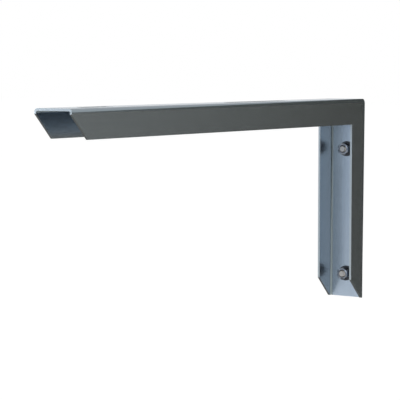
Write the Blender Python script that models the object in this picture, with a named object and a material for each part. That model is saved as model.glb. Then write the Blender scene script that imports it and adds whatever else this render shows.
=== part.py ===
"""Wall bracket for the outdoor unit of an air conditioner: an L of folded steel channel and its two wall fixings.

Metres, +Z up. The wall is the plane Y = 0 and the arm points away from it, along -Y. The origin is on the back face
of the leg, midway between the two wall bolts.
"""

import math

import bmesh
import bpy

# Channel: the web is on top of the arm and against the wall on the leg, and the flanges point into the L.
ARM_LENGTH = 0.550  # wall to the arm's free end
LEG_HEIGHT = 0.238  # top of the arm to the leg's free end
CHANNEL_WIDTH = 0.046
FLANGE_DEPTH = 0.030
SHEET = 0.0025
FOLD_INSIDE_RADIUS = 0.0015  # of the long folds between web and flanges
CORNER_INSIDE_RADIUS = 0.003  # of the web, where the arm turns down into the leg
ARM_END_CUT = 0.024  # how far the slanted end sets the flange back from the web
LEG_END_CUT = 0.024
END_LAND = 0.0015  # straight edge between the fold and the start of the slant

# Slots in the arm's web for the bolts of the unit's feet.
SLOT_WIDTH = 0.011
FRONT_SLOT_LENGTH = 0.050
REAR_SLOT_LENGTH = 0.120
FRONT_SLOT_SETBACK = 0.064  # arm's free end to the middle of the front slot
SLOT_PITCH = 0.285  # middle of the front slot to middle of the rear slot

# Wall fixings: an M8 stud bolt in a drop-in anchor with its expander plug, and on it a flat washer, a lock washer
# and a nut.
UPPER_FIXING_DROP = 0.060  # below the top of the arm
LOWER_FIXING_RISE = 0.028  # above the leg's free end
THREAD_DIAMETER = 0.008
STUD_LENGTH = 0.027
STUD_PROUD = 0.0013  # of the nut
STUD_END_CHAMFER = 0.001
NUT_ACROSS_FLATS = 0.013
NUT_HEIGHT = 0.0055
NUT_CHAMFER_ANGLE = math.radians(30)
HOLE_CLEARANCE = 0.0005  # round the anchor, which is set through the hole in the web
WASHER_DIAMETER = 0.018
WASHER_THICKNESS = 0.0014
WASHER_CLEARANCE = 0.0004  # round the stud, in both washers
LOCK_WASHER_DIAMETER = 0.0138
LOCK_WASHER_THICKNESS = 0.0016
LOCK_WASHER_SPLIT = 0.0015
LOCK_WASHER_SLANT = math.radians(25)
ANCHOR_LENGTH = 0.025
ANCHOR_WALL = 0.0007
ANCHOR_THREAD_DEPTH = 0.0145
ANCHOR_FLARE = 0.0006  # how far the driven plug has spread the anchor's end, on the radius
ANCHOR_SLIT_WIDTH = 0.0012
ANCHOR_SLIT_LENGTH = 0.009
PLUG_DIAMETER = 0.0058
PLUG_TAPER = 0.0005
PLUG_LENGTH = 0.0075
PLUG_INSET = 0.001  # plug's end to anchor's end

SEAT_GAP = 0.0003  # between pieces that touch

FOLD_STEPS = 5
CORNER_STEPS = 10
TURN_STEPS = 48
SLOT_END_STEPS = 12
CUT_OVERRUN = 0.002  # how far a cutter passes the faces it cuts through

FOLD_RADIUS = FOLD_INSIDE_RADIUS + SHEET
CORNER_RADIUS = CORNER_INSIDE_RADIUS + SHEET
FIXING_PITCH = LEG_HEIGHT - UPPER_FIXING_DROP - LOWER_FIXING_RISE
ARM_TOP = FIXING_PITCH / 2 + UPPER_FIXING_DROP
LEG_END = ARM_TOP - LEG_HEIGHT

FLAT_WASHER_SEAT = SHEET + SEAT_GAP
LOCK_WASHER_SEAT = FLAT_WASHER_SEAT + WASHER_THICKNESS + SEAT_GAP
NUT_SEAT = LOCK_WASHER_SEAT + LOCK_WASHER_THICKNESS + SEAT_GAP
STUD_TOP = NUT_SEAT + NUT_HEIGHT + STUD_PROUD
THREAD_BORE_RADIUS = THREAD_DIAMETER / 2 + SEAT_GAP
ANCHOR_RADIUS = THREAD_BORE_RADIUS + ANCHOR_WALL
PLUG_BORE_RADIUS = PLUG_DIAMETER / 2 + SEAT_GAP


def clear_scene():
    """Removes every object of the scene that the script starts in."""
    for item in list(bpy.data.objects):
        bpy.data.objects.remove(item, do_unlink=True)


def steel(name, colour, roughness, metallic):
    """Returns a steel material with the given linear colour."""
    material = bpy.data.materials.new(name)
    material.use_nodes = True
    surface = material.node_tree.nodes["Principled BSDF"]
    surface.inputs["Base Color"].default_value = (*colour, 1.0)
    surface.inputs["Roughness"].default_value = roughness
    surface.inputs["Metallic"].default_value = metallic
    return material


def object_from(name, bm, material=None, parent=None):
    """Turns the bmesh into a smooth-shaded object and frees it."""
    mesh = bpy.data.meshes.new(name)
    bm.to_mesh(mesh)
    bm.free()
    mesh.shade_smooth()
    mesh.set_sharp_from_angle(angle=math.radians(30))
    if material:
        mesh.materials.append(material)
    item = bpy.data.objects.new(name, mesh)
    bpy.context.scene.collection.objects.link(item)
    item.parent = parent
    return item


def use_cutter(item, cutter, operation="DIFFERENCE"):
    """Adds a Boolean to the object and hides the cutter from the render."""
    cutter.hide_render = True
    cutter.display_type = "WIRE"
    boolean = item.modifiers.new(cutter.name, "BOOLEAN")
    boolean.operation = operation
    boolean.object = cutter


def turned(outline, closed):
    """Spins an outline of (radius, height) points round the Z axis.

    A closed outline makes a ring, and an open one starts and ends on the axis.
    """
    bm = bmesh.new()
    points = [bm.verts.new((radius, 0, height)) for radius, height in outline]
    following = points[1:] + points[:1] if closed else points[1:]
    edges = [bm.edges.new(pair) for pair in zip(points, following)]
    bmesh.ops.spin(
        bm,
        geom=points + edges,
        cent=(0, 0, 0),
        axis=(0, 0, 1),
        angle=math.tau,
        steps=TURN_STEPS,
    )
    bmesh.ops.remove_doubles(bm, verts=bm.verts, dist=1e-6)
    bmesh.ops.recalc_face_normals(bm, faces=bm.faces)
    return bm


def ring(inner_radius, outer_radius, low, high):
    """Returns a plain turned ring between two heights."""
    return turned(
        [(inner_radius, low), (outer_radius, low), (outer_radius, high), (inner_radius, high)],
        closed=True,
    )


def box(size_x, size_y, size_z):
    """Returns a box round the origin."""
    bm = bmesh.new()
    bmesh.ops.create_cube(bm, size=1)
    bmesh.ops.scale(bm, verts=bm.verts, vec=(size_x, size_y, size_z))
    return bm


def web_line():
    """Returns the outer line of the web in side view, from the arm's end round the corner to the leg's end."""
    corner = []
    for step in range(CORNER_STEPS + 1):
        angle = math.pi / 2 * (1 - step / CORNER_STEPS)
        corner.append(
            (CORNER_RADIUS * (math.cos(angle) - 1), ARM_TOP + CORNER_RADIUS * (math.sin(angle) - 1))
        )
    return [(-ARM_LENGTH, ARM_TOP), *corner, (0, LEG_END)]


def flange_line():
    """Returns the free edges of a flange in side view, from the leg's end back to the arm's end."""
    land = FOLD_RADIUS + END_LAND
    return [
        (-land, LEG_END),
        (-FLANGE_DEPTH, LEG_END + LEG_END_CUT),
        (-FLANGE_DEPTH, ARM_TOP - FLANGE_DEPTH),
        (-ARM_LENGTH + ARM_END_CUT, ARM_TOP - FLANGE_DEPTH),
        (-ARM_LENGTH, ARM_TOP - land),
    ]


def channel_skin():
    """Returns the outer skin of the channel: the web, both flanges and the rounded folds between them."""
    bm = bmesh.new()
    web = web_line()
    left, right = (
        [bm.verts.new((side * CHANNEL_WIDTH / 2, y, z)) for y, z in web + flange_line()]
        for side in (-1, 1)
    )
    bm.faces.new(left)
    bm.faces.new(reversed(right))
    folds = []
    for here in range(len(web) - 1):
        ahead = here + 1
        bm.faces.new((right[here], right[ahead], left[ahead], left[here]))
        folds += [bm.edges.get((flange[here], flange[ahead])) for flange in (left, right)]
    bmesh.ops.bevel(
        bm,
        geom=folds,
        offset=FOLD_RADIUS,
        segments=FOLD_STEPS,
        profile=0.5,
        affect="EDGES",
    )
    return bm


def slot_cutter(name, length, middle):
    """Returns a slot with round ends, along the arm at the given Y."""
    bm = bmesh.new()
    radius = SLOT_WIDTH / 2
    straight = length / 2 - radius
    low = ARM_TOP - SHEET - CUT_OVERRUN
    rim = []
    for end in (-1, 1):
        for step in range(SLOT_END_STEPS + 1):
            angle = math.pi * (step / SLOT_END_STEPS + (end - 1) / 2)
            rim.append(
                bm.verts.new((radius * math.cos(angle), middle + end * straight + radius * math.sin(angle), low))
            )
    floor = bm.faces.new(rim)
    raised = bmesh.ops.extrude_face_region(bm, geom=[floor])["geom"]
    bmesh.ops.translate(
        bm,
        verts=[item for item in raised if isinstance(item, bmesh.types.BMVert)],
        vec=(0, 0, SHEET + 2 * CUT_OVERRUN),
    )
    bmesh.ops.recalc_face_normals(bm, faces=bm.faces)
    return object_from(name, bm)


def bolt_hole_cutter(name, fixing):
    """Returns the hole in the web for a stud and its anchor, on the fixing's own axis."""
    radius = ANCHOR_RADIUS + HOLE_CLEARANCE
    outline = [(0, -CUT_OVERRUN), (radius, -CUT_OVERRUN), (radius, SHEET + CUT_OVERRUN), (0, SHEET + CUT_OVERRUN)]
    return object_from(name, turned(outline, closed=False), parent=fixing)


def add_channel(material, fixings):
    """Adds the folded and welded channel, with its slots and bolt holes."""
    channel = object_from("bracket_channel", channel_skin(), material)
    sheet = channel.modifiers.new("sheet", "SOLIDIFY")
    sheet.thickness = SHEET
    sheet.offset = -1
    sheet.use_even_offset = True
    front = FRONT_SLOT_SETBACK - ARM_LENGTH
    use_cutter(channel, slot_cutter("front_slot", FRONT_SLOT_LENGTH, front))
    use_cutter(channel, slot_cutter("rear_slot", REAR_SLOT_LENGTH, front + SLOT_PITCH))
    for place, fixing in fixings.items():
        use_cutter(channel, bolt_hole_cutter(f"bolt_hole_{place}", fixing))


def add_stud(name, material, fixing):
    """Adds the stud bolt, chamfered at both ends."""
    radius = THREAD_DIAMETER / 2
    tip = STUD_TOP - STUD_LENGTH
    outline = [
        (0, tip),
        (radius - STUD_END_CHAMFER, tip),
        (radius, tip + STUD_END_CHAMFER),
        (radius, STUD_TOP - STUD_END_CHAMFER),
        (radius - STUD_END_CHAMFER, STUD_TOP),
        (0, STUD_TOP),
    ]
    object_from(name, turned(outline, closed=False), material, fixing)


def add_nut(name, material, fixing):
    """Adds the nut: a turned ring with both faces chamfered, trimmed to six flats."""
    corner = NUT_ACROSS_FLATS / math.sqrt(3)
    crown = NUT_ACROSS_FLATS / 2
    top = NUT_SEAT + NUT_HEIGHT
    chamfer = (corner - crown) * math.tan(NUT_CHAMFER_ANGLE)
    outline = [
        (THREAD_BORE_RADIUS, NUT_SEAT),
        (crown, NUT_SEAT),
        (corner, NUT_SEAT + chamfer),
        (corner, top - chamfer),
        (crown, top),
        (THREAD_BORE_RADIUS, top),
    ]
    nut = object_from(name, turned(outline, closed=True), material, fixing)
    hexagon = bmesh.new()
    bmesh.ops.create_cone(
        hexagon,
        cap_ends=True,
        segments=6,
        radius1=corner,
        radius2=corner,
        depth=2 * (top + CUT_OVERRUN),
    )
    use_cutter(nut, object_from(f"{name}_flats", hexagon, parent=fixing), "INTERSECT")


def add_flat_washer(name, material, fixing):
    """Adds the flat washer on the inside of the web."""
    bore = THREAD_DIAMETER / 2 + WASHER_CLEARANCE
    bm = ring(bore, WASHER_DIAMETER / 2, FLAT_WASHER_SEAT, FLAT_WASHER_SEAT + WASHER_THICKNESS)
    object_from(name, bm, material, fixing)


def add_lock_washer(name, material, fixing):
    """Adds the split lock washer between the flat washer and the nut, pressed flat."""
    bore = THREAD_DIAMETER / 2 + WASHER_CLEARANCE
    bm = ring(
        bore, LOCK_WASHER_DIAMETER / 2, LOCK_WASHER_SEAT, LOCK_WASHER_SEAT + LOCK_WASHER_THICKNESS
    )
    washer = object_from(name, bm, material, fixing)
    reach = LOCK_WASHER_DIAMETER / 2
    split = object_from(
        f"{name}_split",
        box(LOCK_WASHER_SPLIT, reach, 2 * (LOCK_WASHER_THICKNESS + CUT_OVERRUN)),
        parent=fixing,
    )
    split.location = (0, reach / 2 + CUT_OVERRUN, LOCK_WASHER_SEAT + LOCK_WASHER_THICKNESS / 2)
    split.rotation_euler = (0, LOCK_WASHER_SLANT, 0)
    use_cutter(washer, split)


def add_anchor(name, material, fixing):
    """Adds the drop-in anchor: a threaded shell that stands flush with the wall, spread and slit at its far end."""
    outline = [
        (ANCHOR_RADIUS, -SEAT_GAP),
        (ANCHOR_RADIUS, -ANCHOR_THREAD_DEPTH),
        (ANCHOR_RADIUS + ANCHOR_FLARE, -ANCHOR_LENGTH),
        (PLUG_BORE_RADIUS, -ANCHOR_LENGTH),
        (PLUG_BORE_RADIUS, -ANCHOR_THREAD_DEPTH),
        (THREAD_BORE_RADIUS, -ANCHOR_THREAD_DEPTH),
        (THREAD_BORE_RADIUS, -SEAT_GAP),
    ]
    anchor = object_from(name, turned(outline, closed=True), material, fixing)
    reach = 2 * (ANCHOR_RADIUS + ANCHOR_FLARE + CUT_OVERRUN)
    for side, size in {"a": (reach, ANCHOR_SLIT_WIDTH), "b": (ANCHOR_SLIT_WIDTH, reach)}.items():
        slit = object_from(f"{name}_slit_{side}", box(*size, 2 * ANCHOR_SLIT_LENGTH), parent=fixing)
        slit.location.z = -ANCHOR_LENGTH
        use_cutter(anchor, slit)


def add_plug(name, material, fixing):
    """Adds the tapered expander plug in the anchor's far end."""
    radius = PLUG_DIAMETER / 2
    end = PLUG_INSET - ANCHOR_LENGTH
    outline = [(0, end), (radius - PLUG_TAPER, end), (radius, end + PLUG_LENGTH), (0, end + PLUG_LENGTH)]
    object_from(name, turned(outline, closed=False), material, fixing)


def add_fixing_axis(place, height):
    """Adds an empty where a stud's axis meets the wall, with its Z axis pointing out of the wall."""
    fixing = bpy.data.objects.new(f"fixing_{place}", None)
    bpy.context.scene.collection.objects.link(fixing)
    fixing.location.z = height
    fixing.rotation_euler.x = math.pi / 2
    return fixing


def main():
    """Models the bracket."""
    clear_scene()
    galvanised = steel("galvanised_sheet", (0.25, 0.28, 0.30), 0.45, 0.8)
    zinc_plated = steel("zinc_plated_steel", (0.42, 0.42, 0.41), 0.35, 1.0)
    black_oxide = steel("blued_spring_steel", (0.12, 0.12, 0.13), 0.4, 1.0)
    fixings = {
        "upper": add_fixing_axis("upper", FIXING_PITCH / 2),
        "lower": add_fixing_axis("lower", -FIXING_PITCH / 2),
    }
    add_channel(galvanised, fixings)
    for place, fixing in fixings.items():
        add_stud(f"wall_bolt_{place}", zinc_plated, fixing)
        add_nut(f"hex_nut_{place}", zinc_plated, fixing)
        add_lock_washer(f"lock_washer_{place}", black_oxide, fixing)
        add_flat_washer(f"flat_washer_{place}", zinc_plated, fixing)
        add_anchor(f"anchor_shell_{place}", zinc_plated, fixing)
        add_plug(f"expander_plug_{place}", zinc_plated, fixing)


main()
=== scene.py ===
"""Looks of a wall bracket for an outdoor unit: a folded galvanised channel and its wall fixings.

Metres, +Z up. The wall is the plane Y = 0 and the arm points away from it, along -Y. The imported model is
the fixed frame, and every piece built here stands where its solid stands.
"""

from __future__ import annotations

import logging
import math
from dataclasses import dataclass, field
from enum import Enum
from typing import Callable, Sequence

import bmesh
import bpy
from mathutils import Matrix, Vector

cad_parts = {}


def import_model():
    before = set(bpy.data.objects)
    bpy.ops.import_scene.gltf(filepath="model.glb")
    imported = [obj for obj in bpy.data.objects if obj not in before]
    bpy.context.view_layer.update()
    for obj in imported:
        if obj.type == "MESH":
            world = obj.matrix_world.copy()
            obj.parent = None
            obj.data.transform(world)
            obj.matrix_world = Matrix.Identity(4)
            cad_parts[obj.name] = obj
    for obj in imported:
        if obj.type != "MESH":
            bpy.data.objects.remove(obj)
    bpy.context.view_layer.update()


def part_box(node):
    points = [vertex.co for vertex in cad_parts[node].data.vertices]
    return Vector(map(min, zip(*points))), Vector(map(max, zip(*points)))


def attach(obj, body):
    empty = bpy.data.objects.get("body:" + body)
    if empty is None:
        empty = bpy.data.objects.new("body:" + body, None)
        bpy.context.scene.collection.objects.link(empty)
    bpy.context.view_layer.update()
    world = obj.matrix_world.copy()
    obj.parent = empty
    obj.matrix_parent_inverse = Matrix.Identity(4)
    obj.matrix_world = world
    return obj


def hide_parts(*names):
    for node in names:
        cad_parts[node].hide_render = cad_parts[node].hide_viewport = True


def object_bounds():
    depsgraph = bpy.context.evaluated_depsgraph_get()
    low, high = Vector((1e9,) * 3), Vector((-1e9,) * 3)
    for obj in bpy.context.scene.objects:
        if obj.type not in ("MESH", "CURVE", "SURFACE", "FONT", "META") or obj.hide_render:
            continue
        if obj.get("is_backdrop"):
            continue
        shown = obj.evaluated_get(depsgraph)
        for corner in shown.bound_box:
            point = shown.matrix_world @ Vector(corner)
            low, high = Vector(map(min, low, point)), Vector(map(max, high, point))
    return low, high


log = logging.getLogger("bracket")

MM = 0.001
BODY = "root"

Point = tuple[float, float]
Ring = list[Vector]
Curve = Callable[[float], float]


class Slot(Enum):
    """Material slots of the record."""

    GALVANISED = "galvanised_sheet"
    ZINC_PLATED = "zinc_plated_steel"
    SPRING_STEEL = "blued_spring_steel"


class Place(Enum):
    """The two wall fixings, one above the other."""

    UPPER = "upper"
    LOWER = "lower"


def linear(code: str) -> tuple[float, float, float, float]:
    """Turns an sRGB hex colour to linear, by the standard's own curve.

    Args:
        code: six hex digits, with or without a leading hash.

    Returns:
        Linear red, green, blue and an alpha of 1.
    """
    digits = code.lstrip("#")
    channels = []
    for start in (0, 2, 4):
        value = int(digits[start : start + 2], 16) / 255
        channels.append(value / 12.92 if value <= 0.04045 else ((value + 0.055) / 1.055) ** 2.4)
    return (channels[0], channels[1], channels[2], 1.0)


def add_node(
    tree: bpy.types.NodeTree,
    kind: str,
    inputs: dict[str | int, object] | None = None,
    **settings: object,
) -> bpy.types.Node:
    """Adds a node with its settings, values and links.

    Args:
        tree: tree that takes the node.
        kind: Blender's name of the node's type.
        inputs: a value or an output socket for each input, by the input's name or number.
        settings: properties of the node.

    Returns:
        The new node.
    """
    node = tree.nodes.new(kind)
    for name, value in settings.items():
        setattr(node, name, value)
    for key, value in (inputs or {}).items():
        if isinstance(value, bpy.types.NodeSocket):
            tree.links.new(value, node.inputs[key])
        else:
            node.inputs[key].default_value = value
    return node


def object_from(
    name: str, bm: bmesh.types.BMesh, materials: Sequence[bpy.types.Material]
) -> bpy.types.Object:
    """Turns a bmesh into an object of the scene and frees it.

    Args:
        name: name of the object.
        bm: its geometry.
        materials: its materials, in the order of the faces' material numbers.

    Returns:
        The new object.
    """
    bmesh.ops.recalc_face_normals(bm, faces=bm.faces)
    mesh = bpy.data.meshes.new(name)
    bm.to_mesh(mesh)
    bm.free()
    for material in materials:
        mesh.materials.append(material)
    item = bpy.data.objects.new(name, mesh)
    bpy.context.scene.collection.objects.link(item)
    return item


def subtract(item: bpy.types.Object, cutters: Sequence[bpy.types.Object]) -> None:
    """Takes cutters away from an object with Boolean modifiers.

    Args:
        item: the object.
        cutters: the objects that are taken away.
    """
    for cutter in cutters:
        boolean = item.modifiers.new(cutter.name, "BOOLEAN")
        boolean.operation = "DIFFERENCE"
        boolean.object = cutter


def settle(item: bpy.types.Object, cutters: Sequence[bpy.types.Object] = (), crease: float = 35.0) -> None:
    """Applies an object's modifiers, deletes its cutters and shades it smooth between its creases.

    Args:
        item: the object.
        cutters: objects that its Boolean modifiers used.
        crease: angle in degrees from which an edge stays sharp.
    """
    bpy.context.view_layer.update()
    evaluated = item.evaluated_get(bpy.context.evaluated_depsgraph_get())
    mesh = bpy.data.meshes.new_from_object(evaluated)
    item.modifiers.clear()
    item.data = mesh
    for cutter in cutters:
        bpy.data.objects.remove(cutter, do_unlink=True)
    mesh.shade_smooth()
    mesh.set_sharp_from_angle(angle=math.radians(crease))


def loft(rings: Sequence[Ring], closed: bool) -> bmesh.types.BMesh:
    """Joins rings of equally many points by quads.

    Args:
        rings: the rings in order.
        closed: True where the last ring meets the first, False where the two ends are capped.

    Returns:
        A closed surface.
    """
    bm = bmesh.new()
    rows = [[bm.verts.new(point) for point in ring] for ring in rings]
    count = len(rows[0])
    following = rows[1:] + rows[:1] if closed else rows[1:]
    for here, ahead in zip(rows, following):
        for step in range(count):
            after = (step + 1) % count
            bm.faces.new((here[step], here[after], ahead[after], ahead[step]))
    if not closed:
        bm.faces.new(reversed(rows[0]))
        bm.faces.new(rows[-1])
    return bm


def circle(radius: float | Curve, height: float | Curve, steps: int) -> Ring:
    """Returns a ring round the Z axis.

    Args:
        radius: the radius, or the radius for each angle.
        height: the height, or the height for each radius.
        steps: number of points.

    Returns:
        The ring's points.
    """
    ring = []
    for step in range(steps):
        angle = math.tau * step / steps
        reach = radius(angle) if callable(radius) else radius
        level = height(reach) if callable(height) else height
        ring.append(Vector((reach * math.cos(angle), reach * math.sin(angle), level)))
    return ring


def rounded_section(low: Point, high: Point, radius: float, steps: int = 4) -> list[Point]:
    """Returns a rectangular section with rounded corners, as (radius, height) points.

    Args:
        low: inner radius and lowest height.
        high: outer radius and greatest height.
        radius: radius of the corners.
        steps: segments of each corner.

    Returns:
        The points, counter-clockwise.
    """
    points = []
    centres = [
        (high[0] - radius, high[1] - radius),
        (low[0] + radius, high[1] - radius),
        (low[0] + radius, low[1] + radius),
        (high[0] - radius, low[1] + radius),
    ]
    for quarter, (across, up) in enumerate(centres):
        for step in range(steps + 1):
            angle = math.pi / 2 * (quarter + step / steps)
            points.append((across + radius * math.cos(angle), up + radius * math.sin(angle)))
    return points


@dataclass(frozen=True)
class Finish:
    """A metal's finish.

    Attributes:
        name: what the metal is and how its surface was made.
        colour: its sRGB colour.
        roughness: its roughness.
    """

    name: str
    colour: str
    roughness: float

    def start(self) -> tuple[bpy.types.Material, bpy.types.NodeTree, bpy.types.Node]:
        """Makes the metal without its pattern.

        Returns:
            The material, its tree and its surface node.
        """
        material = bpy.data.materials.new(self.name)
        material.use_nodes = True
        tree = material.node_tree
        surface = tree.nodes["Principled BSDF"]
        surface.inputs["Base Color"].default_value = linear(self.colour)
        surface.inputs["Metallic"].default_value = 1.0
        surface.inputs["Roughness"].default_value = self.roughness
        return material, tree, surface

    def toned(
        self,
        tree: bpy.types.NodeTree,
        darkest: float,
        patterns: Sequence[tuple[bpy.types.NodeSocket, float]],
    ) -> bpy.types.NodeSocket:
        """Makes the metal's colour lighter and darker by patterns that run from 0 to 1.

        Args:
            tree: tree of the material.
            darkest: share of the colour that is left where every pattern is 0.
            patterns: each pattern, and the share of the colour that it adds where it is 1.

        Returns:
            The colour.
        """
        tone: float | bpy.types.NodeSocket = darkest
        for pattern, share in patterns:
            tone = add_node(
                tree, "ShaderNodeMath", {0: pattern, 1: share, 2: tone}, operation="MULTIPLY_ADD"
            ).outputs[0]
        return add_node(
            tree, "ShaderNodeVectorMath", {0: linear(self.colour)[:3], 3: tone}, operation="SCALE"
        ).outputs[0]


@dataclass(frozen=True)
class GalvanisedSheet(Finish):
    """Hot-dip galvanised steel sheet, rolled and weathered: faint zinc crystals and rolling lines.

    Attributes:
        spangle: size of a zinc crystal.
        streak_width: width of a rolling line.
        streak_length: length of a rolling line.
        ripple: length of the sheet's low ripples.
        darkest: share of the colour in the darkest rolling line.
        streak_share: share of the colour that the lightest rolling line adds.
        crystal_share: share of the colour that the lightest crystal adds.
        gloss_range: how much the roughness differs between crystals.
        ripple_strength: how strongly the ripples bend the light.
        ripple_height: height of the ripples.
        streak_strength: how strongly the rolling lines bend the light.
        streak_height: height of the rolling lines.
        outer_fold_shade_colour: sRGB colour of a painted shade on the outside of a fold.
        outer_fold_roughness: roughness of the outside of a fold.
        inner_fold_highlight_colour: sRGB colour of a pale painted highlight on the inside of a fold.
        inner_fold_roughness: roughness of the inside of a fold.
        inside: distance of a flange's inner face from the middle of the channel.
        sheet: thickness of the sheet.
        fold_centre: centre of a fold's radius, out from the channel's middle and in from the web's face.
        fade: length over which the painted shade and highlight of a fold fade out.
        top: height of the arm's top.
    """

    spangle: float = 9 * MM
    streak_width: float = 1.6 * MM
    streak_length: float = 180 * MM
    ripple: float = 40 * MM
    darkest: float = 0.92
    streak_share: float = 0.16
    crystal_share: float = 0.03
    gloss_range: float = 0.02
    ripple_strength: float = 0.12
    ripple_height: float = 0.4 * MM
    streak_strength: float = 0.10
    streak_height: float = 0.05 * MM
    outer_fold_shade_colour: str = "#87939B"
    outer_fold_roughness: float = 0.35
    inner_fold_highlight_colour: str = "#AFBABC"
    inner_fold_roughness: float = 0.60
    inside: float = 20.5 * MM
    sheet: float = 2.5 * MM
    fold_centre: Point = (19 * MM, 4 * MM)
    fade: float = 1.2 * MM
    top: float = field(default_factory=lambda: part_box("bracket_channel")[1].z)

    def strip(
        self, tree: bpy.types.NodeTree, place: bpy.types.NodeSocket
    ) -> tuple[bpy.types.NodeSocket, bpy.types.NodeSocket, bpy.types.NodeSocket]:
        """Finds a point's place on the strip, which turns at the mitre from the arm into the leg.

        Args:
            tree: tree of the material.
            place: the point.

        Returns:
            Its distance across the strip from its middle, in from the web's outer face, and along it.
        """
        axes = add_node(tree, "ShaderNodeSeparateXYZ", {0: place})
        below = add_node(
            tree, "ShaderNodeMath", {0: self.top, 1: axes.outputs["Z"]}, operation="SUBTRACT"
        ).outputs[0]
        before = add_node(
            tree, "ShaderNodeMath", {0: 0.0, 1: axes.outputs["Y"]}, operation="SUBTRACT"
        ).outputs[0]
        on_leg = add_node(
            tree, "ShaderNodeMath", {0: below, 1: before}, operation="GREATER_THAN"
        ).outputs[0]
        along = add_node(tree, "ShaderNodeMix", {0: on_leg, 2: before, 3: below}).outputs[0]
        depth = add_node(tree, "ShaderNodeMix", {0: on_leg, 2: below, 3: before}).outputs[0]
        return axes.outputs["X"], depth, along

    def folds(
        self, tree: bpy.types.NodeTree, across: bpy.types.NodeSocket, depth: bpy.types.NodeSocket
    ) -> tuple[bpy.types.NodeSocket, bpy.types.NodeSocket]:
        """Finds the folds between the web and the flanges.

        Args:
            tree: tree of the material.
            across: distance across the strip from its middle.
            depth: distance in from the web's outer face.

        Returns:
            A socket that is 1 in a fold and 0 away from it, and one that is 1 on a fold's outside and 0 on
            its inside.
        """
        aside = add_node(tree, "ShaderNodeMath", {0: across}, operation="ABSOLUTE").outputs[0]
        near_flange = add_node(
            tree,
            "ShaderNodeMapRange",
            {"Value": aside, "From Min": self.inside - 2 * self.fade, "From Max": self.inside - self.fade},
            interpolation_type="SMOOTHSTEP",
        ).outputs[0]
        near_web = add_node(
            tree,
            "ShaderNodeMapRange",
            {"Value": depth, "From Min": self.sheet + 2 * self.fade, "From Max": self.sheet + self.fade},
            interpolation_type="SMOOTHSTEP",
        ).outputs[0]
        folded = add_node(
            tree, "ShaderNodeMath", {0: near_flange, 1: near_web}, operation="MULTIPLY"
        ).outputs[0]
        in_section = add_node(tree, "ShaderNodeCombineXYZ", {"X": aside, "Y": depth}).outputs[0]
        from_centre = add_node(
            tree, "ShaderNodeVectorMath", {0: in_section, 1: (*self.fold_centre, 0.0)}, operation="DISTANCE"
        ).outputs["Value"]
        mid_sheet = self.inside - self.fold_centre[0] + self.sheet / 2
        outer = add_node(
            tree, "ShaderNodeMath", {0: from_centre, 1: mid_sheet}, operation="GREATER_THAN"
        ).outputs[0]
        return folded, outer

    def material(self) -> bpy.types.Material:
        """Builds the finish.

        Returns:
            The material.
        """
        material, tree, surface = self.start()
        place = add_node(tree, "ShaderNodeTexCoord").outputs["Object"]
        across, depth, along = self.strip(tree, place)
        folded, outer = self.folds(tree, across, depth)

        # Rolling leaves fine lines along the strip, which show as faint streaks of light and shade. They
        # are drawn coarser than real ones, which are finer than the render can show.
        on_strip = add_node(tree, "ShaderNodeCombineXYZ", {"X": across, "Y": depth, "Z": along}).outputs[0]
        stretch = (1 / self.streak_width, 1 / self.streak_width, 1 / self.streak_length)
        drawn_out = add_node(
            tree, "ShaderNodeVectorMath", {0: on_strip, 1: stretch}, operation="MULTIPLY"
        ).outputs[0]
        streaks = add_node(
            tree, "ShaderNodeTexNoise", {"Vector": drawn_out, "Scale": 1.0, "Detail": 3.0, "Roughness": 0.6}
        ).outputs["Fac"]

        # Each zinc crystal froze at its own tilt, so its patch is a shade lighter or darker than its
        # neighbours, and a little more or less glossy.
        crystals = add_node(
            tree, "ShaderNodeTexVoronoi", {"Vector": place, "Scale": 1 / self.spangle, "Randomness": 1.0}
        )
        crystal_tone = add_node(
            tree, "ShaderNodeSeparateColor", {0: crystals.outputs["Color"]}
        ).outputs["Red"]
        patterns = ((streaks, self.streak_share), (crystal_tone, self.crystal_share))
        tinted = self.toned(tree, self.darkest, patterns)
        gloss = add_node(
            tree,
            "ShaderNodeMath",
            {0: crystal_tone, 1: self.gloss_range, 2: self.roughness - self.gloss_range / 2},
            operation="MULTIPLY_ADD",
        ).outputs[0]

        # Painted light: a painted shade darkens the outside of each fold, and a painted highlight lies
        # inside it.
        fold_shade_and_highlight = add_node(
            tree,
            "ShaderNodeMix",
            {0: outer, 6: linear(self.inner_fold_highlight_colour), 7: linear(self.outer_fold_shade_colour)},
            data_type="RGBA",
        ).outputs[2]
        # The sheet's colour, with the painted shade and highlight of the folds laid over it.
        worn = add_node(
            tree, "ShaderNodeMix", {0: folded, 6: tinted, 7: fold_shade_and_highlight}, data_type="RGBA"
        ).outputs[2]
        tree.links.new(worn, surface.inputs["Base Color"])
        fold_gloss = add_node(
            tree, "ShaderNodeMix", {0: outer, 2: self.inner_fold_roughness, 3: self.outer_fold_roughness}
        ).outputs[0]
        dulled = add_node(tree, "ShaderNodeMix", {0: folded, 2: gloss, 3: fold_gloss}).outputs[0]
        tree.links.new(dulled, surface.inputs["Roughness"])

        # A folded sheet is never dead flat: long low ripples bend what it mirrors.
        ripples = add_node(
            tree, "ShaderNodeTexNoise", {"Vector": place, "Scale": 1 / self.ripple, "Detail": 1.0}
        ).outputs["Fac"]
        waved = add_node(
            tree,
            "ShaderNodeBump",
            {"Height": ripples, "Strength": self.ripple_strength, "Distance": self.ripple_height},
        ).outputs[0]
        grained = add_node(
            tree,
            "ShaderNodeBump",
            {
                "Height": streaks,
                "Strength": self.streak_strength,
                "Distance": self.streak_height,
                "Normal": waved,
            },
        ).outputs[0]
        tree.links.new(grained, surface.inputs["Normal"])
        return material


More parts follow.
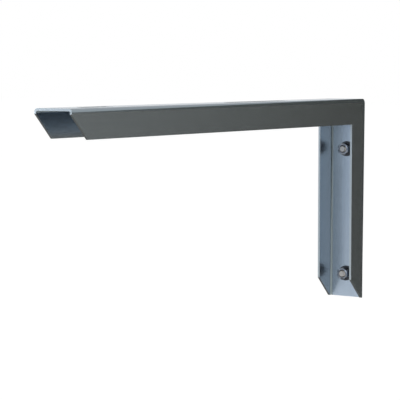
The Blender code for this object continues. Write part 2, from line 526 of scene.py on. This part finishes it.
@dataclass(frozen=True)
class ShearedEdge(Finish):
    """Edge of the sheet as the shear and the punch left it, with the fine grain of torn metal.

    Attributes:
        grain: size of a grain.
        darkest: share of the colour in the darkest grain.
        grain_share: share of the colour that the lightest grain adds.
    """

    grain: float = 0.5 * MM
    darkest: float = 0.9
    grain_share: float = 0.2

    def material(self) -> bpy.types.Material:
        """Builds the finish.

        Returns:
            The material.
        """
        material, tree, surface = self.start()
        place = add_node(tree, "ShaderNodeTexCoord").outputs["Object"]

        # The grain is drawn coarser than the real one, which is finer than the render can show.
        grains = add_node(
            tree, "ShaderNodeTexNoise", {"Vector": place, "Scale": 1 / self.grain, "Detail": 2.0}
        ).outputs["Fac"]
        tinted = self.toned(tree, self.darkest, ((grains, self.grain_share),))
        tree.links.new(tinted, surface.inputs["Base Color"])
        return material


@dataclass(frozen=True)
class PlatedSteel(Finish):
    """Turned, forged or stamped steel with a thin skin of zinc plating or bluing, faintly mottled.

    Attributes:
        grain: size of a patch of the mottle.
        darkest: share of the colour in the darkest patch.
        mottle_share: share of the colour that the lightest patch adds.
        gloss_range: how much the roughness differs between patches.
    """

    grain: float = 0.6 * MM
    darkest: float = 0.9
    mottle_share: float = 0.2
    gloss_range: float = 0.1

    def material(self) -> bpy.types.Material:
        """Builds the finish.

        Returns:
            The material.
        """
        material, tree, surface = self.start()
        place = add_node(tree, "ShaderNodeTexCoord").outputs["Object"]

        # The mottle is drawn coarser than the real skin's grain, which is finer than the render can show.
        mottle = add_node(
            tree, "ShaderNodeTexNoise", {"Vector": place, "Scale": 1 / self.grain, "Detail": 2.0}
        ).outputs["Fac"]
        tinted = self.toned(tree, self.darkest, ((mottle, self.mottle_share),))
        tree.links.new(tinted, surface.inputs["Base Color"])
        gloss = add_node(
            tree,
            "ShaderNodeMath",
            {0: mottle, 1: self.gloss_range, 2: self.roughness - self.gloss_range / 2},
            operation="MULTIPLY_ADD",
        ).outputs[0]
        tree.links.new(gloss, surface.inputs["Roughness"])
        return material


@dataclass
class Metals:
    """The metals of the bracket.

    Attributes:
        sheet: the channel's faces.
        edge: the cut edges of its sheet.
        zinc: the studs, the anchors and the plugs.
        blue_zinc: the nuts.
        shade_dark_zinc: the flat washers, painted dark grey as a painted shade.
        spring: the lock washers.
    """

    # Weathered zinc: a satin blue-grey, smooth enough to mirror what is light or dark around it.
    sheet: bpy.types.Material = field(
        default_factory=lambda: GalvanisedSheet(
            name="Galvanised steel sheet, satin", colour="#A3AEB8", roughness=0.25
        ).material()
    )
    # Cut metal has no weathered skin, so it is the more neutral grey.
    edge: bpy.types.Material = field(
        default_factory=lambda: ShearedEdge(
            name="Galvanised steel, sheared edge", colour="#A4ABAC", roughness=0.25
        ).material()
    )
    # Zinc plating on turned steel: a light, slightly warm grey with bright highlights.
    zinc: bpy.types.Material = field(
        default_factory=lambda: PlatedSteel(
            name="Steel, zinc plated", colour="#A5A29D", roughness=0.20
        ).material()
    )
    # Blue passivation makes the plating cooler and darker.
    blue_zinc: bpy.types.Material = field(
        default_factory=lambda: PlatedSteel(
            name="Forged steel, zinc plated and passivated blue", colour="#777C83", roughness=0.22
        ).material()
    )
    # A painted shade: the washers are a dark grey, so that the nut's side faces mirror dark and the nut
    # shows against them.
    shade_dark_zinc: bpy.types.Material = field(
        default_factory=lambda: PlatedSteel(
            name="Stamped steel, zinc plated, painted dark for shade", colour="#46484C", roughness=0.30
        ).material()
    )
    # Bluing is a thin oxide: dark, with a soft gloss.
    spring: bpy.types.Material = field(
        default_factory=lambda: PlatedSteel(
            name="Spring steel, blued", colour="#5A5A60", roughness=0.34
        ).material()
    )


def install(item: bpy.types.Object, node: str) -> None:
    """Puts a piece in the place of a solid of the frame.

    Args:
        item: the piece, where it belongs.
        node: the solid that it stands for.
    """
    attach(item, BODY)
    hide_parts(node)
    log.info("%s stands for %s: %d faces", item.name, node, len(item.data.polygons))


@dataclass
class Channel:
    """The bracket itself: a channel, mitred and welded at its corner, slotted above and drilled behind.

    Attributes:
        metals: the metals.
        fixing_heights: height of each wall fixing.
        flange_depth: depth of the channel.
        sheet: thickness of the sheet.
        fold_radius: outer radius of the folds between web and flanges.
        corner_radius: outer radius of the web where the arm turns into the leg.
        end_cut: how far the slanted ends of the flanges are set back.
        end_land: straight part of a flange's end, from the fold to the slant.
        slot_width: width of the slots.
        front_slot: length of the front slot.
        rear_slot: length of the rear slot.
        front_setback: distance of the front slot's middle from the arm's end.
        slot_pitch: distance between the middles of the slots.
        bolt_hole: diameter of the bolt holes.
        edge_round: radius of the sheet's edges.
        edge_steps: segments of that radius.
        edge_angle: angle from which an edge is one that gets it.
        overrun: how far a punch reaches past the sheet, on both sides.
        fold_steps: segments of a fold.
        corner_steps: segments of the corner.
        slot_steps: segments of a slot's round end.
    """

    metals: Metals
    fixing_heights: Sequence[float]
    flange_depth: float = 30 * MM
    sheet: float = 2.5 * MM
    fold_radius: float = 4 * MM
    corner_radius: float = 5.5 * MM
    end_cut: float = 24 * MM
    end_land: float = 1.5 * MM
    slot_width: float = 11 * MM
    front_slot: float = 50 * MM
    rear_slot: float = 120 * MM
    front_setback: float = 64 * MM
    slot_pitch: float = 285 * MM
    bolt_hole: float = 11 * MM
    edge_round: float = 0.3 * MM
    edge_steps: int = 3
    edge_angle: float = math.radians(50)
    overrun: float = 2 * MM
    fold_steps: int = 8
    corner_steps: int = 16
    slot_steps: int = 24

    def __post_init__(self) -> None:
        """Takes the outer sizes from the frame."""
        low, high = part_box("bracket_channel")
        self.length = -low.y
        self.width = high.x - low.x
        self.top = high.z
        self.end = low.z

    def web_line(self) -> list[Point]:
        """Draws the web's outer line in side view, from the arm's end round the corner to the leg's end.

        Returns:
            The line's points, as Y and Z.
        """
        radius = self.corner_radius
        corner = []
        for step in range(self.corner_steps + 1):
            angle = math.pi / 2 * (1 - step / self.corner_steps)
            corner.append((radius * (math.cos(angle) - 1), self.top + radius * (math.sin(angle) - 1)))
        return [(-self.length, self.top), *corner, (0.0, self.end)]

    def flange_line(self) -> list[Point]:
        """Draws a flange's free edges in side view, from the leg's end back to the arm's end.

        Returns:
            The line's points, as Y and Z.
        """
        land = self.fold_radius + self.end_land
        return [
            (-land, self.end),
            (-self.flange_depth, self.end + self.end_cut),
            (-self.flange_depth, self.top - self.flange_depth),
            (-self.length + self.end_cut, self.top - self.flange_depth),
            (-self.length, self.top - land),
        ]

    def skin(self) -> bmesh.types.BMesh:
        """Draws the channel's outer skin: web, flanges and the rounded folds between them.

        Returns:
            An open surface, without thickness.
        """
        bm = bmesh.new()
        web = self.web_line()
        outline = web + self.flange_line()
        half = self.width / 2
        left = [bm.verts.new((-half, y, z)) for y, z in outline]
        right = [bm.verts.new((half, y, z)) for y, z in outline]
        bm.faces.new(left)
        bm.faces.new(reversed(right))
        folds = []
        for here in range(len(web) - 1):
            ahead = here + 1
            bm.faces.new((right[here], right[ahead], left[ahead], left[here]))
            folds += [bm.edges.get((flange[here], flange[ahead])) for flange in (left, right)]
        bmesh.ops.bevel(
            bm,
            geom=folds,
            offset=self.fold_radius,
            segments=self.fold_steps,
            profile=0.5,
            affect="EDGES",
        )
        return bm

    def slot_cutter(self, name: str, length: float, middle: float) -> bpy.types.Object:
        """Makes the punch of a slot with round ends.

        Args:
            name: name of the cutter.
            length: the slot's length.
            middle: the Y of its middle.

        Returns:
            The cutter.
        """
        radius = self.slot_width / 2
        straight = length / 2 - radius
        rim = []
        for end in (-1, 1):
            for step in range(self.slot_steps + 1):
                angle = math.pi * (step / self.slot_steps + (end - 1) / 2)
                rim.append((radius * math.cos(angle), middle + end * straight + radius * math.sin(angle)))
        levels = (self.top - self.sheet - self.overrun, self.top + self.overrun)
        return self.punch(name, [[Vector((x, y, level)) for x, y in rim] for level in levels])

    def hole_cutter(self, name: str, height: float) -> bpy.types.Object:
        """Makes the punch of a bolt hole.

        Args:
            name: name of the cutter.
            height: the hole's Z.

        Returns:
            The cutter.
        """
        levels = (self.overrun, -self.sheet - self.overrun)
        rim = circle(self.bolt_hole / 2, 0.0, 2 * self.slot_steps)
        rings = [[Vector((point.x, level, height + point.y)) for point in rim] for level in levels]
        return self.punch(name, rings)

    def punch(self, name: str, rings: Sequence[Ring]) -> bpy.types.Object:
        """Makes a cutter whose cut faces take the finish of a sheared edge.

        Args:
            name: name of the cutter.
            rings: its two end outlines.

        Returns:
            The cutter.
        """
        cutter = object_from(name, loft(rings, closed=False), (self.metals.sheet, self.metals.edge))
        for face in cutter.data.polygons:
            face.material_index = 1
        return cutter

    def build(self) -> bpy.types.Object:
        """Folds the sheet, punches it and breaks its sharp edges.

        Returns:
            The channel.
        """
        channel = object_from("folded_channel", self.skin(), (self.metals.sheet, self.metals.edge))
        thickness = channel.modifiers.new("sheet", "SOLIDIFY")
        thickness.thickness = self.sheet
        thickness.offset = -1
        thickness.use_even_offset = True
        thickness.material_offset_rim = 1
        front = self.front_setback - self.length
        cutters = [
            self.slot_cutter("front_slot", self.front_slot, front),
            self.slot_cutter("rear_slot", self.rear_slot, front + self.slot_pitch),
        ]
        for number, height in enumerate(self.fixing_heights):
            cutters.append(self.hole_cutter(f"bolt_hole_{number}", height))
        subtract(channel, cutters)
        rounding = channel.modifiers.new("edges", "BEVEL")
        rounding.width = self.edge_round
        rounding.segments = self.edge_steps
        rounding.limit_method = "ANGLE"
        rounding.angle_limit = self.edge_angle
        rounding.use_clamp_overlap = True
        settle(channel, cutters)
        weighting = channel.modifiers.new("normals", "WEIGHTED_NORMAL")
        weighting.keep_sharp = True
        return channel


@dataclass
class WallFixing:
    """One wall fixing: a threaded stud in a drop-in anchor with its plug, two washers on it and a hex nut.

    Attributes:
        place: which of the two fixings it is.
        metals: the metals.
        thread: outer diameter of the thread.
        pitch: pitch of the thread.
        thread_depth: depth of the thread.
        thread_root: share of the pitch that the thread's root takes.
        thread_flanks: share of the pitch that its two flanks take together.
        end_chamfer: length of the chamfers at the stud's ends.
        end_facet: radius of the facet in the middle of the stud's ends, as a share of the root's radius.
        across_flats: width of the nut across its flats.
        nut_face: radius of the nut's flat faces, as a share of that width.
        nut_chamfer: slope of the nut's chamfers.
        corner_wear: how much of the nut's corners is worn off.
        countersink: size of the countersinks of the nut's bore.
        washer_clearance: space between the stud and the washers.
        washer_round: radius of the washers' edges.
        split: width of the lock washer's split.
        split_slant: slant of that split.
        anchor_wall: thickness of the anchor round its thread.
        anchor_thread: length of the anchor's threaded part.
        anchor_flare: how far the plug has spread the anchor's far end.
        anchor_chamfer: size of the anchor's chamfers.
        slit_width: width of the anchor's slits.
        slit_length: length of the anchor's slits.
        slit_overrun: how far their cutters reach past the anchor.
        plug_taper: how much the plug's radius shrinks towards its far end.
        plug_chamfer: size of the plug's chamfers.
        plug_facet: radius of the facet in the middle of the plug's ends, as a share of the slim end's.
        gap: space between the thread, or the plug, and what it sits in.
        around: points of each ring.
        thread_rows: rings for each turn of the thread.
    """

    place: Place
    metals: Metals
    thread: float = 8 * MM
    pitch: float = 1.25 * MM
    thread_depth: float = 0.76 * MM
    thread_root: float = 0.2
    thread_flanks: float = 0.65
    end_chamfer: float = 1 * MM
    end_facet: float = 0.4
    across_flats: float = 13 * MM
    nut_face: float = 0.49
    nut_chamfer: float = math.radians(30)
    corner_wear: float = 0.12 * MM
    countersink: float = 0.35 * MM
    washer_clearance: float = 0.4 * MM
    washer_round: float = 0.25 * MM
    split: float = 1.5 * MM
    split_slant: float = math.radians(25)
    anchor_wall: float = 0.7 * MM
    anchor_thread: float = 14.5 * MM
    anchor_flare: float = 0.6 * MM
    anchor_chamfer: float = 0.25 * MM
    slit_width: float = 1.2 * MM
    slit_length: float = 9 * MM
    slit_overrun: float = 1 * MM
    plug_taper: float = 0.5 * MM
    plug_chamfer: float = 0.3 * MM
    plug_facet: float = 0.3
    gap: float = 0.3 * MM
    around: int = 96
    thread_rows: int = 8

    def __post_init__(self) -> None:
        """Takes the places along the axis from the frame, as heights above the wall."""
        suffix = self.place.value
        stud_low, stud_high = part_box(f"wall_bolt_{suffix}")
        nut_low, nut_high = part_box(f"hex_nut_{suffix}")
        washer_low, washer_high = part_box(f"flat_washer_{suffix}")
        lock_low, lock_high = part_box(f"lock_washer_{suffix}")
        anchor_low, anchor_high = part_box(f"anchor_shell_{suffix}")
        plug_low, plug_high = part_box(f"expander_plug_{suffix}")
        self.height = (stud_low.z + stud_high.z) / 2
        self.stud_span = (-stud_high.y, -stud_low.y)
        self.nut_span = (-nut_high.y, -nut_low.y)
        self.washer_span = (-washer_high.y, -washer_low.y)
        self.washer_radius = (washer_high.x - washer_low.x) / 2
        self.lock_span = (-lock_high.y, -lock_low.y)
        self.lock_radius = (lock_high.x - lock_low.x) / 2
        self.anchor_span = (-anchor_high.y, -anchor_low.y)
        self.plug_span = (-plug_high.y, -plug_low.y)
        self.plug_radius = (plug_high.x - plug_low.x) / 2
        self.axis = Matrix.Translation((0.0, 0.0, self.height)) @ Matrix.Rotation(math.pi / 2, 4, "X")

    def hexagon(self, angle: float) -> float:
        """Gives the nut's outline, with a corner pointing up and the corners a little worn.

        Args:
            angle: the angle round the nut.

        Returns:
            The radius there.
        """
        sixth = math.pi / 3
        off_flat = (angle + sixth / 2) % sixth - sixth / 2
        flat = self.across_flats / 2 / math.cos(off_flat)
        corner = self.across_flats / math.sqrt(3) - self.corner_wear
        return min(flat, corner)

    def chamfered(self, reach: float) -> float:
        """Returns how far the nut's turned chamfers set it back from its faces at a radius."""
        return max(0.0, reach - self.across_flats / 2) * math.tan(self.nut_chamfer)

    def thread_radius(self, height: float, limit: float) -> Curve:
        """Gives the outline of the stud's thread at a height.

        Args:
            height: the height.
            limit: the radius that the chamfer of the stud's end leaves there.

        Returns:
            A function of the angle.
        """

        def radius(angle: float) -> float:
            """Gives the thread's radius.

            Args:
                angle: the angle round the stud.

            Returns:
                The radius there.
            """
            phase = (height / self.pitch - angle / math.tau) % 1
            slope = 1 - abs(2 * phase - 1)
            ridge = min(1.0, max(0.0, (slope - self.thread_root) / self.thread_flanks))
            return min(limit, self.thread / 2 - self.thread_depth * (1 - ridge))

        return radius

    def piece(
        self, name: str, rings: Sequence[Ring], closed: bool, metal: bpy.types.Material
    ) -> bpy.types.Object:
        """Makes a piece of the fixing from its rings.

        Args:
            name: what the piece is.
            rings: its rings in order.
            closed: True where the last ring meets the first, False where the two ends are capped.
            metal: its material.

        Returns:
            The piece.
        """
        item = object_from(f"{name}_{self.place.value}", loft(rings, closed), (metal,))
        settle(item)
        return item

    def stud(self) -> bpy.types.Object:
        """Rolls the stud's thread from end to end and turns a chamfer on each end.

        Returns:
            The stud.
        """
        tip, top = self.stud_span
        crest = self.thread / 2
        root = crest - self.thread_depth
        facet = self.end_facet * root
        rows = math.ceil((top - tip) / self.pitch * self.thread_rows)
        rings = [circle(facet, tip, self.around)]
        for row in range(rows + 1):
            height = tip + (top - tip) * row / rows
            inset = min(height - tip, top - height, self.end_chamfer)
            limit = root + (crest - root) * inset / self.end_chamfer
            rings.append(circle(self.thread_radius(height, limit), height, self.around))
        rings.append(circle(facet, top, self.around))
        return self.piece("threaded_stud", rings, False, self.metals.zinc)

    def nut(self) -> bpy.types.Object:
        """Forges the nut: a hexagon with both faces chamfered, and its bore countersunk.

        Returns:
            The nut.
        """
        seat, top = self.nut_span
        bore = self.thread / 2 + self.gap
        mouth = bore + self.countersink
        face = self.nut_face * self.across_flats
        rings = [
            circle(mouth, seat, self.around),
            circle(face, seat, self.around),
            circle(self.hexagon, lambda reach: seat + self.chamfered(reach), self.around),
            circle(self.hexagon, lambda reach: top - self.chamfered(reach), self.around),
            circle(face, top, self.around),
            circle(mouth, top, self.around),
            circle(bore, top - self.countersink, self.around),
            circle(bore, seat + self.countersink, self.around),
        ]
        return self.piece("forged_nut", rings, True, self.metals.blue_zinc)

    def flat_washer(self) -> bpy.types.Object:
        """Stamps the flat washer, its edges rolled over by the punch.

        Returns:
            The washer.
        """
        low, high = self.washer_span
        bore = self.thread / 2 + self.washer_clearance
        section = rounded_section((bore, low), (self.washer_radius, high), self.washer_round)
        rings = [circle(radius, height, self.around) for radius, height in section]
        # The washer's dark grey is a painted shade, not its own colour.
        return self.piece("plain_washer", rings, True, self.metals.shade_dark_zinc)

    def lock_washer(self) -> bpy.types.Object:
        """Coils the split washer, pressed flat, with its ends cut on a slant.

        Returns:
            The washer.
        """
        low, high = self.lock_span
        bore = self.thread / 2 + self.washer_clearance
        section = rounded_section((bore, low), (self.lock_radius, high), self.washer_round)
        mean = (bore + self.lock_radius) / 2
        middle = (low + high) / 2
        half_gap = self.split / 2 / mean
        rings = []
        for step in range(self.around + 1):
            turn = math.pi / 2 + half_gap + (math.tau - 2 * half_gap) * step / self.around
            ring = []
            for radius, height in section:
                angle = turn - (height - middle) * math.tan(self.split_slant) / mean
                ring.append(Vector((radius * math.cos(angle), radius * math.sin(angle), height)))
            rings.append(ring)
        return self.piece("split_washer", rings, False, self.metals.spring)

    def anchor(self) -> bpy.types.Object:
        """Turns the anchor's shell and slits its far end, spread as the plug has driven it.

        Returns:
            The anchor.
        """
        far, mouth = self.anchor_span
        bore = self.thread / 2 + self.gap
        body = bore + self.anchor_wall
        spread = body + self.anchor_flare
        plug_bore = self.plug_radius + self.gap
        shoulder = -self.anchor_thread
        chamfer = self.anchor_chamfer
        section = [
            (bore + chamfer, mouth),
            (body - chamfer, mouth),
            (body, mouth - chamfer),
            (body, shoulder),
            (spread, far + chamfer),
            (spread - chamfer, far),
            (plug_bore + chamfer, far),
            (plug_bore, far + chamfer),
            (plug_bore, shoulder - chamfer),
            (plug_bore + chamfer, shoulder),
            (bore, shoulder),
            (bore, mouth - chamfer),
        ]
        rings = [circle(radius, height, self.around) for radius, height in section]
        suffix = self.place.value
        item = object_from(f"anchor_sleeve_{suffix}", loft(rings, closed=True), (self.metals.zinc,))
        reach = spread + self.slit_overrun
        narrow = self.slit_width / 2
        levels = (far - self.slit_overrun, far + self.slit_length)
        cutters = []
        for name, half_x, half_y in (("across", reach, narrow), ("up", narrow, reach)):
            corners = ((-half_x, -half_y), (half_x, -half_y), (half_x, half_y), (-half_x, half_y))
            walls = [[Vector((x, y, level)) for x, y in corners] for level in levels]
            cutters.append(
                object_from(f"slit_{name}_{suffix}", loft(walls, closed=False), (self.metals.zinc,))
            )
        subtract(item, cutters)
        settle(item, cutters)
        return item

    def plug(self) -> bpy.types.Object:
        """Turns the cone that spreads the anchor.

        Returns:
            The plug.
        """
        far, near = self.plug_span
        chamfer = self.plug_chamfer
        slim = self.plug_radius - self.plug_taper
        facet = self.plug_facet * slim
        rings = [
            circle(facet, far, self.around),
            circle(slim - chamfer, far, self.around),
            circle(slim, far + chamfer, self.around),
            circle(self.plug_radius, near - chamfer, self.around),
            circle(self.plug_radius - chamfer, near, self.around),
            circle(facet, near, self.around),
        ]
        return self.piece("cone_plug", rings, False, self.metals.zinc)

    def build(self) -> None:
        """Makes every piece of the fixing and puts it on its axis."""
        suffix = self.place.value
        pieces = (
            (self.stud(), f"wall_bolt_{suffix}", Slot.ZINC_PLATED),
            (self.nut(), f"hex_nut_{suffix}", Slot.ZINC_PLATED),
            (self.lock_washer(), f"lock_washer_{suffix}", Slot.SPRING_STEEL),
            (self.flat_washer(), f"flat_washer_{suffix}", Slot.ZINC_PLATED),
            (self.anchor(), f"anchor_shell_{suffix}", Slot.ZINC_PLATED),
            (self.plug(), f"expander_plug_{suffix}", Slot.ZINC_PLATED),
        )
        for item, node, slot in pieces:
            item.matrix_world = self.axis
            install(item, node)


@dataclass(frozen=True)
class Flag:
    """A cloth card on a stand, which only the metal mirrors.

    Attributes:
        name: name of the card.
        centre: its centre.
        towards: the point that it faces.
        size: its width and height.
        left: sRGB colour of its left side, seen from the bracket.
        right: sRGB colour of its right side.
        blend: where the one colour starts to turn into the other and where it has, as shares of the width.
    """

    name: str
    centre: Vector
    towards: Vector
    size: Point
    left: str
    right: str
    blend: Point = (0.0, 1.0)


@dataclass(frozen=True)
class Lamp:
    """A soft rectangular lamp that faces the bracket.

    Attributes:
        name: name of the lamp.
        place: its centre.
        size: its width and height.
        radiance: its brightness, where a white world is 1.
        colour: its sRGB colour.
    """

    name: str
    place: Vector
    size: Point
    radiance: float
    colour: str


@dataclass
class Studio:
    """Pale floor, soft lamps, cloth flags and the camera.

    Attributes:
        eye: where the camera stands.
        target: the point that it looks at.
        lens: its focal length in millimetres.
        sensor: width of its sensor in millimetres.
        floor_drop: how far the floor lies below the bracket.
        floor_size: side of the floor.
        floor_colour: sRGB colour of its paint.
        floor_lift: glow that brings the floor up to the white of the surroundings.
        world_level: brightness of the light from all round, where a white world is 1.
        flags: the flags.
        lamps: the lamps.
    """

    eye: Vector = field(default_factory=lambda: Vector((1.056, -1.815, 0.178)))
    target: Vector = field(default_factory=lambda: Vector((0.0, -0.309, 0.033)))
    lens: float = 157.0
    sensor: float = 36.0
    floor_drop: float = 0.6
    floor_size: float = 60.0
    floor_colour: str = "#EDEDED"
    floor_lift: float = 0.37
    world_level: float = 0.75
    flags: Sequence[Flag] = (
        Flag(
            name="back_flag",
            centre=Vector((1.2, 1.5, -0.1)),
            towards=Vector((0.0, 0.0, -0.1)),
            size=(3.6, 2.4),
            left="#49453C",
            right="#AEAAA0",
            blend=(0.36, 0.64),
        ),
        Flag(
            name="side_flag",
            centre=Vector((1.97, -0.35, 0.1)),
            towards=Vector((0.0, 0.0, 0.1)),
            size=(2.3, 1.8),
            left="#A2ACAC",
            right="#A2ACAC",
        ),
        Flag(
            name="front_flag",
            centre=Vector((-2.27, -4.46, -0.1)),
            towards=Vector((0.0, 0.0, -0.1)),
            size=(2.7, 1.6),
            left="#D6E2F2",
            right="#D6E2F2",
        ),
        Flag(
            name="high_flag",
            centre=Vector((-0.3, -1.2, 0.9)),
            towards=Vector((0.0, 0.0, 0.0)),
            size=(0.9, 0.7),
            left="#1A1A1C",
            right="#1A1A1C",
        ),
        Flag(
            name="low_flag",
            centre=Vector((-0.5, -0.5, -0.6)),
            towards=Vector((-0.5, -0.5, 0.0)),
            size=(1.2, 1.8),
            left="#8C8A88",
            right="#8C8A88",
        ),
    )
    lamps: Sequence[Lamp] = (
        Lamp(
            name="key",
            place=Vector((-3.62, -2.83, 0.3)),
            size=(2.0, 1.6),
            radiance=4.0,
            colour="#EEF3FF",
        ),
        Lamp(
            name="front",
            place=Vector((-0.56, -3.55, 0.3)),
            size=(1.3, 1.3),
            radiance=2.0,
            colour="#EEF3FF",
        ),
        Lamp(
            name="top",
            place=Vector((0.2, -0.4, 1.8)),
            size=(1.2, 1.2),
            radiance=0.8,
            colour="#FFFFFF",
        ),
    )

    def seen_rays(self, tree: bpy.types.NodeTree) -> bpy.types.NodeSocket:
        """Tells the rays that look, directly, mirrored or through glass, from those that bring light.

        Args:
            tree: tree that takes the nodes.

        Returns:
            A socket that is 1 for a ray that looks, and else 0.
        """
        rays = add_node(tree, "ShaderNodeLightPath")
        seen = add_node(
            tree,
            "ShaderNodeMath",
            {0: rays.outputs["Is Camera Ray"], 1: rays.outputs["Is Glossy Ray"]},
            operation="MAXIMUM",
        ).outputs[0]
        return add_node(
            tree,
            "ShaderNodeMath",
            {0: seen, 1: rays.outputs["Is Transmission Ray"]},
            operation="MAXIMUM",
        ).outputs[0]

    def world(self) -> None:
        """Sets the surroundings: white where they are seen or mirrored, and soft light elsewhere."""
        world = bpy.data.worlds.new("studio")
        bpy.context.scene.world = world
        world.use_nodes = True
        tree = world.node_tree
        tree.nodes.clear()
        seen = self.seen_rays(tree)
        level = add_node(tree, "ShaderNodeMix", {0: seen, 2: self.world_level, 3: 1.0}).outputs[0]
        shade = add_node(
            tree, "ShaderNodeBackground", {"Color": linear("#FFFFFF"), "Strength": level}
        ).outputs[0]
        add_node(tree, "ShaderNodeOutputWorld", {"Surface": shade})

    def panel(
        self, name: str, centre: Vector, towards: Vector, size: Point, material: bpy.types.Material
    ) -> bpy.types.Object:
        """Adds a flat card to the stage.

        Args:
            name: name of the card.
            centre: its centre.
            towards: the point that it faces.
            size: its width and height.
            material: its material.

        Returns:
            The card.
        """
        bm = bmesh.new()
        bmesh.ops.create_grid(bm, x_segments=1, y_segments=1, size=0.5)
        card = object_from(name, bm, (material,))
        turn = (towards - centre).to_track_quat("Z", "Y")
        card.matrix_world = Matrix.LocRotScale(centre, turn, Vector((size[0], size[1], 1.0)))
        card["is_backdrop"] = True
        return card

    def cloth(self, flag: Flag) -> bpy.types.Material:
        """Makes a flag's matt cotton cloth, dyed from one shade to another across its width.

        Args:
            flag: the flag.

        Returns:
            The material.
        """
        material = bpy.data.materials.new(f"Cotton cloth, {flag.name}")
        material.use_nodes = True
        tree = material.node_tree
        surface = tree.nodes["Principled BSDF"]
        surface.inputs["Roughness"].default_value = 1.0
        surface.inputs["Specular IOR Level"].default_value = 0.0
        place = add_node(tree, "ShaderNodeTexCoord").outputs["Generated"]
        across = add_node(tree, "ShaderNodeSeparateXYZ", {0: place}).outputs["X"]
        dyed = add_node(
            tree,
            "ShaderNodeMapRange",
            {"Value": across, "From Min": flag.blend[0], "From Max": flag.blend[1]},
        ).outputs[0]
        shade = add_node(
            tree,
            "ShaderNodeMix",
            {0: dyed, 6: linear(flag.left), 7: linear(flag.right)},
            data_type="RGBA",
        ).outputs[2]
        tree.links.new(shade, surface.inputs["Base Color"])
        return material

    def floor_paint(self) -> bpy.types.Material:
        """Makes the floor's matt white paint, which meets the white surroundings without a line.

        From below the floor is clear, so it hides nothing in a view from there.

        Returns:
            The material.
        """
        material = bpy.data.materials.new("Painted floor, matt white")
        material.use_nodes = True
        tree = material.node_tree
        surface = tree.nodes["Principled BSDF"]
        surface.inputs["Base Color"].default_value = linear(self.floor_colour)
        surface.inputs["Roughness"].default_value = 1.0
        surface.inputs["Specular IOR Level"].default_value = 0.0
        surface.inputs["Emission Color"].default_value = linear("#FFFFFF")
        lift = add_node(
            tree, "ShaderNodeMath", {0: self.seen_rays(tree), 1: self.floor_lift}, operation="MULTIPLY"
        ).outputs[0]
        tree.links.new(lift, surface.inputs["Emission Strength"])
        clear = add_node(tree, "ShaderNodeBsdfTransparent").outputs[0]
        under = add_node(tree, "ShaderNodeNewGeometry").outputs["Backfacing"]
        paint = add_node(
            tree, "ShaderNodeMixShader", {0: under, 1: surface.outputs[0], 2: clear}
        ).outputs[0]
        tree.links.new(paint, tree.nodes["Material Output"].inputs["Surface"])
        return material

    def hang(self, flag: Flag) -> None:
        """Hangs a flag that is mirrored by the metal and neither seen nor in the way of the light.

        Args:
            flag: the flag.
        """
        card = self.panel(flag.name, flag.centre, flag.towards, flag.size, self.cloth(flag))
        card.visible_camera = False
        card.visible_diffuse = False
        card.visible_shadow = False

    def light(self, lamp: Lamp) -> None:
        """Adds a lamp, whose power follows from its brightness and size.

        Args:
            lamp: the lamp.
        """
        data = bpy.data.lights.new(lamp.name, "AREA")
        data.shape = "RECTANGLE"
        data.size, data.size_y = lamp.size
        data.color = linear(lamp.colour)[:3]
        data.energy = lamp.radiance * math.pi * lamp.size[0] * lamp.size[1]
        item = bpy.data.objects.new(lamp.name, data)
        bpy.context.scene.collection.objects.link(item)
        turn = (-lamp.place).to_track_quat("-Z", "Y")
        item.matrix_world = Matrix.LocRotScale(lamp.place, turn, Vector((1.0, 1.0, 1.0)))
        item.visible_camera = False

    def camera(self) -> None:
        """Places the camera where the photograph was taken from, with a longer lens, aimed anew."""
        data = bpy.data.cameras.new("camera")
        data.sensor_width = self.sensor
        data.lens = self.lens
        camera = bpy.data.objects.new("camera", data)
        bpy.context.scene.collection.objects.link(camera)
        turn = (self.target - self.eye).to_track_quat("-Z", "Y")
        camera.matrix_world = Matrix.LocRotScale(self.eye, turn, Vector((1.0, 1.0, 1.0)))
        bpy.context.scene.camera = camera

    def build(self) -> None:
        """Sets the stage."""
        self.world()
        ground = Vector((0.0, 0.0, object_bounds()[0][2] - self.floor_drop))
        above = Vector((0.0, 0.0, 0.0))
        self.panel("floor", ground, above, (self.floor_size, self.floor_size), self.floor_paint())
        for flag in self.flags:
            self.hang(flag)
        for lamp in self.lamps:
            self.light(lamp)
        self.camera()
        bpy.context.scene.view_settings.view_transform = "Standard"


def main() -> None:
    """Builds the bracket piece by piece and sets the stage round it."""
    logging.basicConfig(level=logging.INFO, format="%(name)s: %(message)s")
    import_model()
    metals = Metals()
    fixings = [WallFixing(place, metals) for place in Place]
    channel = Channel(metals, [fixing.height for fixing in fixings])
    install(channel.build(), "bracket_channel")
    for fixing in fixings:
        fixing.build()
    Studio().build()


if __name__ == "__main__":
    main()
